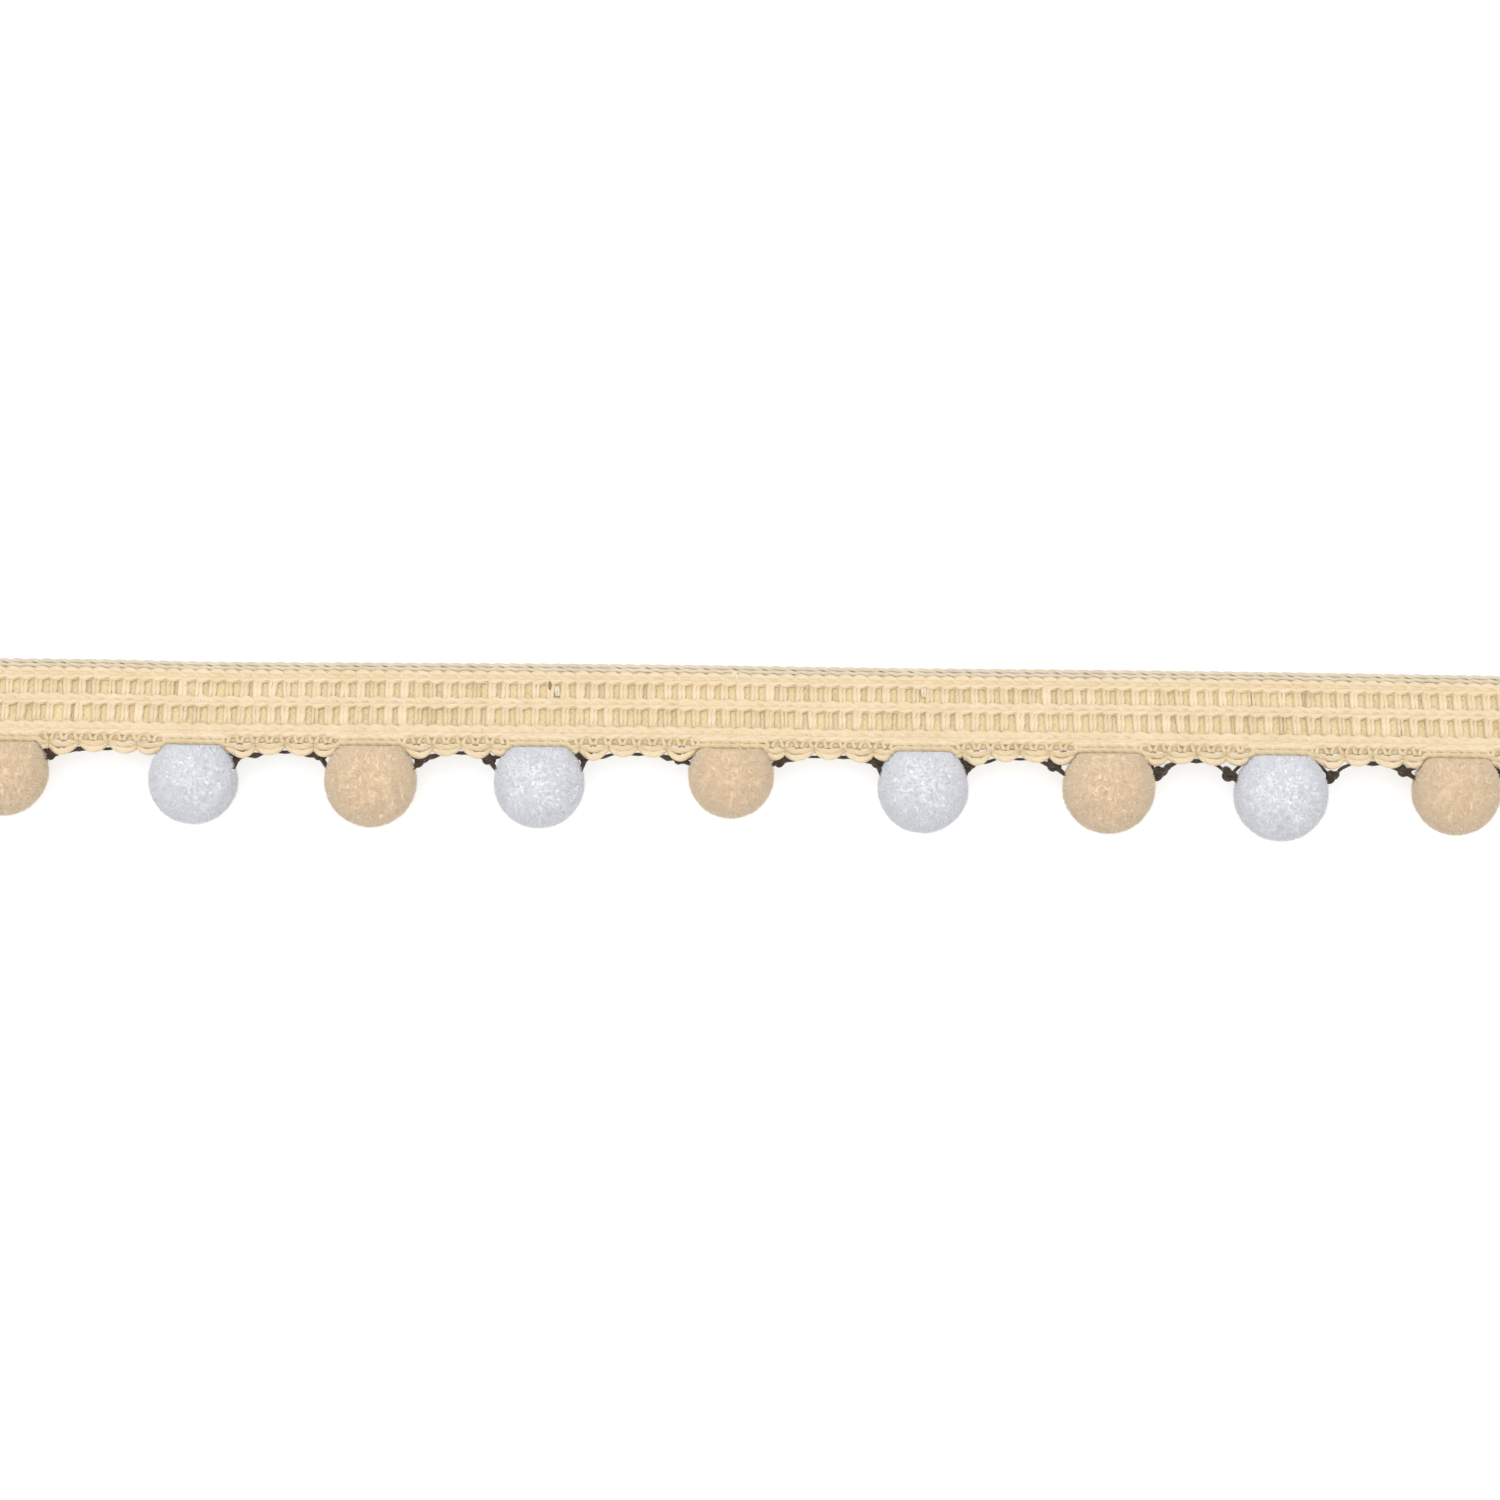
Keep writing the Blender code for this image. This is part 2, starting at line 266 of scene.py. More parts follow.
# The picture: its width on the trim, and the trim's point under its middle.
PICTURE_WIDTH = 166.7 * MM
PICTURE_MIDDLE = Vector((0.0, -9.44 * MM, 4.0 * MM))
LENS = 100.0
SENSOR = 36.0

# The trim lies on a lit white table, which keeps its shadow faint, under even light and one
# soft lamp.
TABLE_GLOW = 0.6
TABLE_HALF = 3.0
TABLE_DROP = 0.02 * MM
WORLD_LIGHT = 1.25
LAMP_PLACE = Vector((-0.12, 0.35, 1.0))
LAMP_SIZE = 0.6
LAMP_POWER = 2.2

# Twisted yarn: its turns for each millimetre, its plies, and how deep they show.
YARN_TWIST = 0.9
YARN_PLIES = 2.0
YARN_DEPTH = 0.05 * MM

# Colours, as (tone, colour) pairs from deep to light.
TAPE_COLOURS = (
    (0.0, (0.46, 0.35, 0.20)),
    (0.45, (0.64, 0.505, 0.31)),
    (1.0, (0.745, 0.61, 0.42)),
)
SELVEDGE_COLOURS = ((0.0, (0.52, 0.44, 0.32)), (0.5, (0.69, 0.60, 0.455)))
FUZZ_COLOURS = ((0.3, (0.73, 0.60, 0.41)), (0.7, (0.82, 0.70, 0.52)))
GROUND_COLOURS = ((0.2, (0.66, 0.53, 0.305)), (0.9, (0.81, 0.67, 0.415)))
WHITE_COLOURS = ((0.1, (0.80, 0.81, 0.86)), (0.8, (0.95, 0.96, 0.995)))
WHITE_HALO = (0.93, 0.95, 1.0)
TAN_COLOURS = ((0.1, (0.79, 0.60, 0.40)), (0.8, (0.97, 0.785, 0.57)))
TAN_HALO = (1.0, 0.84, 0.64)
PALE_TIE_COLOURS = ((0.0, (0.66, 0.56, 0.40)), (1.0, (0.78, 0.69, 0.53)))
# Painted shade of a hole in the tape.
HOLE_SHADE_COLOURS = ((0.0, (0.20, 0.13, 0.065)), (1.0, (0.34, 0.24, 0.13)))
# The dark thread and knots: painted shade under the picots and in the crevices at the balls'
# shoulders.
SHADE_THREAD_COLOURS = ((0.0, (0.03, 0.018, 0.010)), (1.0, (0.09, 0.055, 0.030)))
TABLE_COLOURS = ((0.0, (0.44, 0.44, 0.44)), (1.0, (0.46, 0.46, 0.46)))


def smooth_step(value):
    value = np.clip(value, 0.0, 1.0)
    return value * value * (3.0 - 2.0 * value)


def mix(first, last, share):
    """From the first value to the last, by a share from 0 to 1."""
    return first + (last - first) * share


def bell(distance, width):
    """1 where the distance is nothing, falling to 0 a few widths away."""
    return np.exp(-((distance / width) ** 2))


def normalised(vectors):
    return vectors / np.maximum(np.linalg.norm(vectors, axis=-1, keepdims=True), 1e-12)


# The tape's form

def edge_across(along):
    """The top edge's Y along the tape, on a smooth curve through its points."""
    places = np.array([point.along for point in EDGE_POINTS])
    values = np.array([point.across for point in EDGE_POINTS])
    last = len(places) - 1
    along = np.asarray(along, float)
    start = np.clip(np.searchsorted(places, along, side="left") - 1, 0, last - 1)
    before = np.maximum(start - 1, 0)
    after = np.minimum(start + 2, last)
    span = places[start + 1] - places[start]
    share = (along - places[start]) / span
    slope_a = (values[start + 1] - values[before]) / (places[start + 1] - places[before]) * span
    slope_b = (values[after] - values[start]) / (places[after] - places[start]) * span
    square = share * share
    cube = square * share
    return (
        (2 * cube - 3 * square + 1) * values[start]
        + (cube - 2 * square + share) * slope_a
        + (3 * square - 2 * cube) * values[start + 1]
        + (cube - square) * slope_b
    )


def nearest_ball(along):
    along = np.asarray(along, float)
    return np.min([np.abs(along - ball.along) for ball in BALLS], axis=0)


def over_balls(along):
    """1 where the tape is drawn tight over a ball, and 0 between the balls."""
    return smooth_step((TIGHT_WITHIN - nearest_ball(along)) / TIGHT_FADE)


def back_height(along, below):
    """The height of the tape's back: flat on its foot, then a bend, then a straight slope."""
    run = np.maximum(np.asarray(below, float) - FOOT_WIDTH, 0.0)
    bent = run * run / (2 * BEND_WIDTH)
    straight = run - BEND_WIDTH / 2
    height = tan(TAPE_SLOPE) * np.where(run < BEND_WIDTH, bent, straight)
    share = (nearest_ball(along) - SINK_STARTS) / (SINK_DEEPEST - SINK_STARTS)
    return height * (1.0 - SINK_SHARE * smooth_step(share))


def tape_points(along, below, over):
    """Points over the tape's back, as an array with X, Y and Z last."""
    along, below, over = np.broadcast_arrays(along, below, over)
    across = edge_across(along) - below
    height = back_height(along, below) + over
    return np.stack((along + SHIFT.x, across + SHIFT.y, height), axis=-1)


def tape_line(count, margin=0.1 * MM):
    """Even places along the whole tape, but for a margin at its cut ends."""
    return np.linspace(LEFT_END + margin, RIGHT_END - margin, count)


def course_turn(along):
    """An angle that goes round once for each course."""
    return (along - LEFT_END) / RUNG_PITCH * 2 * pi


def picot_phase(along):
    """A count of the picots, whole at the notches between them."""
    return (along - LEFT_END - PICOT_SHIFT) / PICOT_PITCH


def picot_arch(along):
    """0 at the notches and 1 at the middle of each picot."""
    return np.abs(np.sin(pi * picot_phase(along))) ** 0.7


def picot_limit(along):
    """How far below the top edge the tape may reach beside the balls."""
    along = np.asarray(along, float)
    limit = np.full(along.shape, 1.0)
    for ball in BALLS:
        clear = ball.radius + PICOT_GAP
        inside = np.maximum(clear * clear - (along - ball.along) ** 2, 0.0)
        beside = np.where(inside > 0, ball.below - np.sqrt(inside), 1.0)
        limit = np.minimum(limit, beside)
    return np.maximum(limit, WOVEN_WIDTH)


# Meshes

class Yarns:
    """Tubes of yarn that become one mesh, with a length and a turn as UV, and a tone."""

    def __init__(self, sides=6):
        self.sides = sides
        self.points = []
        self.faces = []
        self.uvs = []
        self.tones = []
        self.count = 0

    def add(self, paths, radius, tone, flat=1.0):
        """Tubes along paths, an array of lines of points. radius and tone may vary."""
        paths = np.asarray(paths, float)
        if paths.ndim == 2:
            paths = paths[None]
        lines, steps, _ = paths.shape
        radius = np.broadcast_to(radius, (lines, steps))
        tone = np.broadcast_to(tone, (lines, steps))
        ahead = normalised(np.gradient(paths, axis=1))
        aside = normalised(np.cross(ahead, UP))
        upward = np.cross(aside, ahead)
        angles = np.linspace(0, 2 * pi, self.sides, endpoint=False)
        ring = (
            aside[:, :, None] * np.cos(angles)[:, None]
            + upward[:, :, None] * np.sin(angles)[:, None] * flat
        )
        points = paths[:, :, None] + ring * radius[:, :, None, None]
        lengths = np.linalg.norm(np.diff(paths, axis=1), axis=2)
        along = np.concatenate((np.zeros((lines, 1)), np.cumsum(lengths, axis=1)), axis=1)
        base = self.count + np.arange(lines)[:, None, None] * steps * self.sides
        row = np.arange(steps - 1)[None, :, None] * self.sides
        side = np.arange(self.sides)[None, None, :]
        after = (side + 1) % self.sides
        quads = np.stack(
            (
                base + row + side,
                base + row + self.sides + side,
                base + row + self.sides + after,
                base + row + after,
            ),
            axis=-1,
        ).reshape(-1, 4)
        turn = (side + np.zeros_like(base + row)) / self.sides
        u_low = np.broadcast_to((along[:, :-1] / MM)[:, :, None], turn.shape)
        u_high = np.broadcast_to((along[:, 1:] / MM)[:, :, None], turn.shape)
        step = 1.0 / self.sides
        uv = np.stack(
            (
                np.stack((u_low, turn), -1),
                np.stack((u_high, turn), -1),
                np.stack((u_high, turn + step), -1),
                np.stack((u_low, turn + step), -1),
            ),
            axis=-2,
        ).reshape(-1, 2)
        self.faces += quads.tolist()
        self.uvs.append(uv)
        first = base[:, 0, 0][:, None] + np.arange(self.sides)
        final = base[:, 0, 0][:, None] + (steps - 1) * self.sides + np.arange(self.sides)[::-1]
        caps = np.concatenate((first, final))
        self.faces += caps.tolist()
        self.uvs.append(np.zeros((caps.size, 2)))
        self.points.append(points.reshape(-1, 3))
        self.tones.append(np.repeat(tone.reshape(-1), self.sides))
        self.count += lines * steps * self.sides

    def make(self, name, material):
        return make_piece(
            name,
            np.concatenate(self.points),
            self.faces,
            material,
            tones=np.concatenate(self.tones),
            uvs=np.concatenate(self.uvs),
        )


def make_piece(name, points, faces, material, tones=None, uvs=None):
    """One smooth mesh that rides on the part's body, with its tone and UV where given."""
    data = bpy.data.meshes.new(name)
    data.from_pydata(np.asarray(points).tolist(), [], faces)
    if tones is not None:
        layer = data.attributes.new("tone", "FLOAT", "POINT")
        layer.data.foreach_set("value", np.asarray(tones, np.float32))
    if uvs is not None:
        layer = data.uv_layers.new(name="yarn")
        layer.data.foreach_set("uv", np.asarray(uvs, np.float32).reshape(-1))
    data.shade_smooth()
    data.materials.append(material)
    piece = bpy.data.objects.new(name, data)
    bpy.context.scene.collection.objects.link(piece)
    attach(piece, "root")
    return piece


# Materials

def new_material(name):
    material = bpy.data.materials.new(name)
    material.use_nodes = True
    return material, material.node_tree, material.node_tree.nodes["Principled BSDF"]


def set_inputs(shader, values):
    for name, value in values.items():
        shader.inputs[name].default_value = value


def math_node(tree, operation, first, second=None, third=None):
    node = tree.nodes.new("ShaderNodeMath")
    node.operation = operation
    for socket, value in zip(node.inputs, (first, second, third)):
        if value is None:
            continue
        if isinstance(value, (int, float)):
            socket.default_value = value
        else:
            tree.links.new(value, socket)
    return node.outputs[0]


def noise_node(tree, scale, detail=2.0, vector=None):
    node = tree.nodes.new("ShaderNodeTexNoise")
    node.inputs["Scale"].default_value = scale
    node.inputs["Detail"].default_value = detail
    if vector is None:
        vector = tree.nodes.new("ShaderNodeTexCoord").outputs["Object"]
    tree.links.new(vector, node.inputs["Vector"])
    return node.outputs["Fac"]


def sine_node(tree, value, rate):
    return math_node(tree, "SINE", math_node(tree, "MULTIPLY", value, rate))


def tone_node(tree):
    """The tone that each point of a mesh carries."""
    node = tree.nodes.new("ShaderNodeAttribute")
    node.attribute_name = "tone"
    return node.outputs["Fac"]


def split_node(tree, vector):
    node = tree.nodes.new("ShaderNodeSeparateXYZ")
    tree.links.new(vector, node.inputs[0])
    return node.outputs


def varied(tree, tone, pattern, amount):
    """The tone, raised and lowered by a pattern that runs from 0 to 1."""
    return math_node(tree, "MULTIPLY_ADD", math_node(tree, "SUBTRACT", pattern, 0.5), amount, tone)


def colour_by_tone(tree, shader, tone, colours):
    """A colour ramp over the tone, from (place, colour) pairs, as the surface's colour."""
    node = tree.nodes.new("ShaderNodeValToRGB")
    ramp = node.color_ramp
    while len(ramp.elements) < len(colours):
        ramp.elements.new(0.5)
    for element, (place, colour) in zip(ramp.elements, colours):
        element.position = place
        element.color = (*colour, 1.0)
    tree.links.new(tone, node.inputs["Fac"])
    tree.links.new(node.outputs["Color"], shader.inputs["Base Color"])


def add_bump(tree, shader, height, strength, depth):
    bump = tree.nodes.new("ShaderNodeBump")
    set_inputs(bump, {"Strength": strength, "Distance": depth})
    tree.links.new(height, bump.inputs["Height"])
    tree.links.new(bump.outputs["Normal"], shader.inputs["Normal"])


def yarn_material(name, colours):
    """Twisted yarn: its plies wind round it, fine fibres lie along them."""
    material, tree, shader = new_material(name)
    uv = tree.nodes.new("ShaderNodeUVMap")
    uv.uv_map = "yarn"
    length, turn, _ = split_node(tree, uv.outputs["UV"])
    wound = math_node(tree, "MULTIPLY", length, YARN_TWIST)
    turned = math_node(tree, "MULTIPLY_ADD", turn, YARN_PLIES, wound)
    wave = sine_node(tree, turned, 2 * pi)
    lengthwise = tree.nodes.new("ShaderNodeCombineXYZ")
    tree.links.new(math_node(tree, "MULTIPLY", turned, 5.0), lengthwise.inputs["X"])
    tree.links.new(math_node(tree, "MULTIPLY", length, 0.9), lengthwise.inputs["Y"])
    streak = noise_node(tree, 1.0, 3.0, lengthwise.outputs[0])
    shade = varied(tree, tone_node(tree), noise_node(tree, 420.0), 0.5)
    shade = math_node(tree, "MULTIPLY_ADD", wave, 0.06, shade)
    shade = varied(tree, shade, streak, 0.5)
    colour_by_tone(tree, shader, shade, colours)
    add_bump(tree, shader, math_node(tree, "MULTIPLY_ADD", streak, 1.6, wave), 0.9, YARN_DEPTH)
    set_inputs(shader, {"Roughness": 0.8, "Specular IOR Level": 0.25})
    set_inputs(shader, {"Sheen Weight": 0.25, "Sheen Roughness": 0.5})
    return material


def fuzz_material(name, colours):
    """Loose fibres, too thin for a twist of their own."""
    material, tree, shader = new_material(name)
    colour_by_tone(tree, shader, noise_node(tree, 900.0), colours)
    set_inputs(shader, {"Roughness": 0.7, "Specular IOR Level": 0.2})
    return material


def pile_material(name, colours, halo):
    """Cut pile: darker towards the roots, as painted shade deep in the pile, each fibre a little
    lighter or darker.
    """
    material, tree, shader = new_material(name)
    shade = varied(tree, tone_node(tree), noise_node(tree, 330.0), 0.1)
    fine = noise_node(tree, 5200.0)
    shade = varied(tree, shade, fine, 0.25)
    colour_by_tone(tree, shader, shade, colours)
    add_bump(tree, shader, fine, 0.5, 0.08 * MM)
    set_inputs(shader, {"Roughness": 0.9, "Specular IOR Level": 0.08})
    set_inputs(shader, {"Sheen Weight": 0.8, "Sheen Roughness": 0.6, "Sheen Tint": (*halo, 1.0)})
    return material


def knit_material(name, colours):
    """The ground behind the yarns: small courses of stitches as colour and bump."""
    material, tree, shader = new_material(name)
    place = tree.nodes.new("ShaderNodeTexCoord").outputs["Object"]
    along, across, _ = split_node(tree, place)
    course = sine_node(tree, along, 4 * pi / RUNG_PITCH)
    wale = sine_node(tree, across, 2 * pi / (0.7 * MM))
    stitch = math_node(tree, "MULTIPLY", course, wale)
    fine = noise_node(tree, 5000.0)
    shade = math_node(tree, "MULTIPLY_ADD", stitch, 0.2, fine)
    colour_by_tone(tree, shader, shade, colours)
    add_bump(tree, shader, math_node(tree, "ADD", stitch, fine), 0.6, 0.06 * MM)
    set_inputs(shader, {"Roughness": 0.85, "Specular IOR Level": 0.2, "Sheen Weight": 0.2})
    return material


# The tape's pieces

chance = np.random.default_rng(7)


def each_course(spread):
    """A chance amount for each course, around nothing."""
    return chance.normal(0, spread, (RUNGS, 1))


def make_ground(material):
    """The thin knitted ground that all the tape's yarns lie on."""
    places = tape_line(2 * RUNGS + 1)
    tops = [GROUND_EDGE_HIGH] + [GROUND_HIGH] * (len(GROUND_LINES) - 1)
    top = [tape_points(places, below * MM, over) for below, over in zip(GROUND_LINES, tops)]
    low = [tape_points(places, below * MM, GROUND_LOW) for below in reversed(GROUND_LINES)]
    loop = np.stack(top + low)
    rows, columns, _ = loop.shape
    faces = []
    for i in range(rows):
        here = i * columns
        after = (i + 1) % rows * columns
        for j in range(columns - 1):
            faces.append((here + j, after + j, after + j + 1, here + j + 1))
    faces.append([i * columns for i in range(rows)][::-1])
    faces.append([i * columns + columns - 1 for i in range(rows)])
    return make_piece("tape_ground", loop.reshape(-1, 3), faces, material)


def make_chain(yarns, wale):
    """A line of chain stitches along the tape: two legs for each, over a laid-in cord."""
    line = tape_line(3 * RUNGS)
    sway = 0.05 * MM * np.sin(course_turn(line))
    cord = tape_points(line, wale.below + sway, CORD_HEIGHT)
    yarns.add(cord, CORD_SHARE * wale.width, WALE_TONE - 0.05, flat=CORD_FLATNESS)
    t = np.linspace(0.0, 1.0, 9)
    for side in (-1, 1):
        along = COURSES[:, None] + (t - LEG_START) * LEG_LENGTH * RUNG_PITCH
        along = np.clip(along, LEFT_END + 0.05 * MM, RIGHT_END - 0.05 * MM)
        spread = np.sin(pi * np.clip(t * 0.92 + 0.08, 0, 1)) ** 0.7
        leg = side * (wale.width / 2 - wale.thick) * spread
        across = wale.below + leg + each_course(0.03 * MM)
        over = GROUND_HIGH + LEG_RISE * np.sin(pi * t) ** 0.8 - LEG_DIP * (1 - t) ** 3
        paths = tape_points(along, across, over + each_course(0.02 * MM))
        swell = wale.thick * (0.75 + 0.25 * np.sin(pi * t))
        yarns.add(paths, swell, WALE_TONE + each_course(0.05))


def make_rungs(yarns, band):
    """The upright floats of one ladder band, two strands for each course, over a laid-in yarn. Each
    rung is darker at its top, painted shade under the rib above.
    """
    line = tape_line(3 * RUNGS, 0.2 * MM)
    yarns.add(tape_points(line, band.top + 0.12 * MM, 1.06 * MM), 0.22 * MM, 0.55)
    t = np.linspace(0.0, 1.0, 9)
    own_tone = each_course(0.15)
    own_place = each_course(0.07 * MM)
    own_size = 1 + each_course(0.12)
    for strand in (-1, 1):
        lean = each_course(0.04 * MM)
        along = COURSES[:, None] + own_place + strand * RUNG_STRAND_ASIDE + lean * (t - 0.5) * 2
        along = np.maximum(along, LEFT_END + 0.3 * MM)
        lift = RUNG_RISE + each_course(0.05 * MM)
        over = RUNG_END_HEIGHT + lift * np.sin(pi * t ** 0.8) ** 0.4
        # Darker at the rung's top: painted shade under the rib above.
        tone = 0.50 + 0.25 * smooth_step((t - 0.1) / 0.5) + own_tone
        yarns.add(tape_points(along, mix(*band, t), over), RUNG_YARN * own_size, tone)


def make_selvedge(yarns):
    """The threads that wind along the plain top edge."""
    along = tape_line(6 * RUNGS)
    for thread in SELVEDGE:
        turn = course_turn(along) + thread.turn
        below = thread.below + 0.05 * MM * np.sin(turn)
        over = thread.height + 0.06 * MM * np.cos(turn)
        yarns.add(tape_points(along, below, over), SELVEDGE_YARN, 0.3)


def make_lacing(yarns):
    """Slack threads across the recessed band, drawn tight and pale where it is over a ball. Away
    from the balls they are darker, as painted shade in the recess.
    """
    line = tape_line(3 * RUNGS, 0.2 * MM)
    tight = over_balls(line)
    # Darker away from the balls: painted shade in the recess.
    filler = tape_points(line, mix(8.3 * MM, 8.4 * MM, tight), mix(1.08 * MM, 1.16 * MM, tight))
    yarns.add(filler, mix(0.25 * MM, 0.42 * MM, tight), mix(0.5, 0.95, tight))
    tight = over_balls(COURSES)[:, None]
    t = np.linspace(0.0, 1.0, 7)
    for strand, lean in ((-0.4, 0.5), (0.4, -0.5)):
        along = COURSES[:, None] + (strand + lean * (t - 0.5)) * MM + each_course(0.06 * MM)
        over = (1.20 - 0.10 * np.sin(pi * t)) * MM
        paths = tape_points(along, mix(LACING_TOP, WOVEN_WIDTH, t), over)
        yarns.add(paths, LACING_YARN, mix(0.6, 0.95, tight) + each_course(0.05))


def make_picots(yarns):
    """The loops along the lower edge: an outer and an inner loop of yarn, small at the balls,
    darker towards the notches as painted shade.
    """
    along = tape_line(9 * RUNGS)
    arch = mix(picot_arch(along), 1, over_balls(along))
    droop = PICOT_DROOP * bell(nearest_ball(along) - DROOP_PLACE, DROOP_WIDTH)
    limit = picot_limit(along) - WOVEN_WIDTH
    for loop in PICOT_LOOPS:
        out = np.minimum(((PICOT_REACH - loop.thick) * arch + droop) * loop.reach, limit)
        over = loop.height + 0.15 * MM * arch
        paths = tape_points(along, WOVEN_WIDTH - 0.05 * MM + out, over)
        # Darker towards the notches: painted shade.
        yarns.add(paths, loop.thick * mix(0.65, 1.0, arch), loop.tone - 0.35 * (1 - arch))


def make_back(yarns):
    """The back of the tape: the weft's returns and the wales' underlaps."""
    t = np.linspace(0.0, 1.0, 9)
    for band in RETURNS:
        along = COURSES[:, None] + (t - 0.5) * RUNG_PITCH
        over = (0.46 - 0.14 * np.sin(pi * t)) * MM
        paths = tape_points(along, mix(*band, t), over)
        paths[..., 0] = np.clip(paths[..., 0], SHIFT.x + LEFT_END, SHIFT.x + RIGHT_END)
        yarns.add(paths, RETURN_YARN, 0.4 + each_course(0.06))
    along = tape_line(5 * RUNGS)
    wave = 0.1 * MM * np.sin(course_turn(along))
    for below in UNDERLAPS:
        yarns.add(tape_points(along, below * MM + wave, UNDERLAP_HEIGHT), UNDERLAP_YARN, 0.5)


def make_pale_ties(yarns):
    """Two short pale strands side by side at each tie, pressed into the tape's face."""
    t = np.linspace(-1.0, 1.0, 9)
    for tie in PALE_TIES:
        for strand in (-0.14, 0.14):
            along = tie.along + strand * MM + 0.06 * MM * t
            over = 1.16 * MM + 0.18 * MM * np.cos(pi * t / 2)
            yarns.add(tape_points(along, tie.below + 0.55 * MM * t, over), 0.17 * MM, 0.7)


def make_hole_shade(yarns):
    """A short dark strand, painted shade of a hole between two rungs, that lies over the face and
    tapers at both ends.
    """
    t = np.linspace(0.0, 1.0, 9)
    arc = np.sin(pi * t)
    below = HOLE_SHADE.below + (t - 0.5) * 1.1 * MM
    path = tape_points(HOLE_SHADE.along, below, (1.42 + 0.14 * arc) * MM)
    yarns.add(path, (0.08 + 0.10 * arc) * MM, 0.5)


def each_shade_knot():
    """Each dark knot of painted shade that shows, with its ball and its side: -1 for left, 1 for
    right.
    """
    for ball, shade_knot_pair in zip(BALLS, SHADE_KNOTS):
        for side, shade_knot in zip((-1, 1), shade_knot_pair):
            if shade_knot:
                yield ball, side, shade_knot


def make_shade_thread(yarns):
    """A dark thread under the picots as painted shade, drawn to each knot, thicker at the notches
    where more painted shade shows.
    """
    along = tape_line(9 * RUNGS, 1.0 * MM)
    near = smooth_step((THREAD_NEAR - nearest_ball(along)) / THREAD_NEAR_FADE)
    below = WOVEN_WIDTH + mix(THREAD_BELOW, THREAD_BELOW_NEAR, near)
    for ball, side, shade_knot in each_shade_knot():
        gap = along - (ball.along + side * shade_knot.beside)
        below = mix(below, shade_knot.below, bell(gap, SHADE_KNOT_PULL_WIDTH))
    below = below - TUCK_DEPTH * bell(along - THREAD_TUCKED, TUCK_WIDTH)
    below = np.minimum(below, picot_limit(along) - THREAD_GAP)
    own = chance.uniform(0.1, 1.0, RUNGS)[np.round(picot_phase(along)).astype(int)]
    notch = 1 - picot_arch(along)
    thick = (0.12 + 0.22 * notch * own + 0.06 * near) * MM
    yarns.add(tape_points(along, below, THREAD_HEIGHT), thick, 0.35)


def make_shade_knots(yarns):
    """A dark trefoil of thread at each shoulder as painted crevice shade, and a tail that leads
    from it into the ball.
    """
    t = np.linspace(0.0, 2.1 * pi, 43)
    round_x = (np.sin(t) + 2 * np.sin(2 * t))[:, None] / 3
    round_y = (np.cos(t) - 2 * np.cos(2 * t))[:, None] / 3
    round_z = -np.sin(3 * t)[:, None]
    share = np.linspace(0.0, 1.0, 7)
    for ball, side, shade_knot in each_shade_knot():
        centre = tape_points(ball.along + side * shade_knot.beside, shade_knot.below, 0.0)
        inward = normalised(np.array((-0.77 * side, -0.64, 0.0)))
        aside = np.cross(UP, inward)
        wide, broad, high = SHADE_KNOT_TURNS * shade_knot.size
        turns = wide * inward * round_x + broad * aside * round_y + high * UP * round_z
        yarns.add(centre + turns, SHADE_KNOT_YARN, 0.3)
        end = tape_points(
            ball.along + side * TAIL_SHARE * ball.radius * np.cos(TAIL_LOW),
            ball.below - TAIL_SHARE * ball.radius * np.sin(TAIL_LOW),
            0.0,
        )
        tail = mix(centre, end, share[:, None])
        yarns.add(tail, mix(TAIL_THICK, TAIL_THIN, share), 0.35)


def make_fuzz(yarns):
    """Loose fibres that stand a little out of the yarns."""
    each = (FUZZ_FIBRES, 1)
    along = chance.uniform(LEFT_END + 1.0 * MM, RIGHT_END - 1.0 * MM, each)
    below = chance.uniform(0.3 * MM, WOVEN_WIDTH, each)
    turn = chance.uniform(0, 2 * pi, each)
    length = chance.uniform(0.4, 1.1, each) * MM
    bend = chance.normal(0, 0.25, each) * MM
    t = np.linspace(0.0, 1.0, 4)
    arc = np.sin(pi * t)
    path_along = along + length * t * np.cos(turn) - bend * arc * np.sin(turn)
    path_below = below + length * t * np.sin(turn) + bend * arc * np.cos(turn)
    path_below = np.clip(path_below, 0.2 * MM, WOVEN_WIDTH + 0.2 * MM)
    over = 1.15 * MM + chance.uniform(0.12, 0.32, each) * MM * arc ** 0.5
    yarns.add(tape_points(path_along, path_below, over), FUZZ_RADIUS, 0.9)


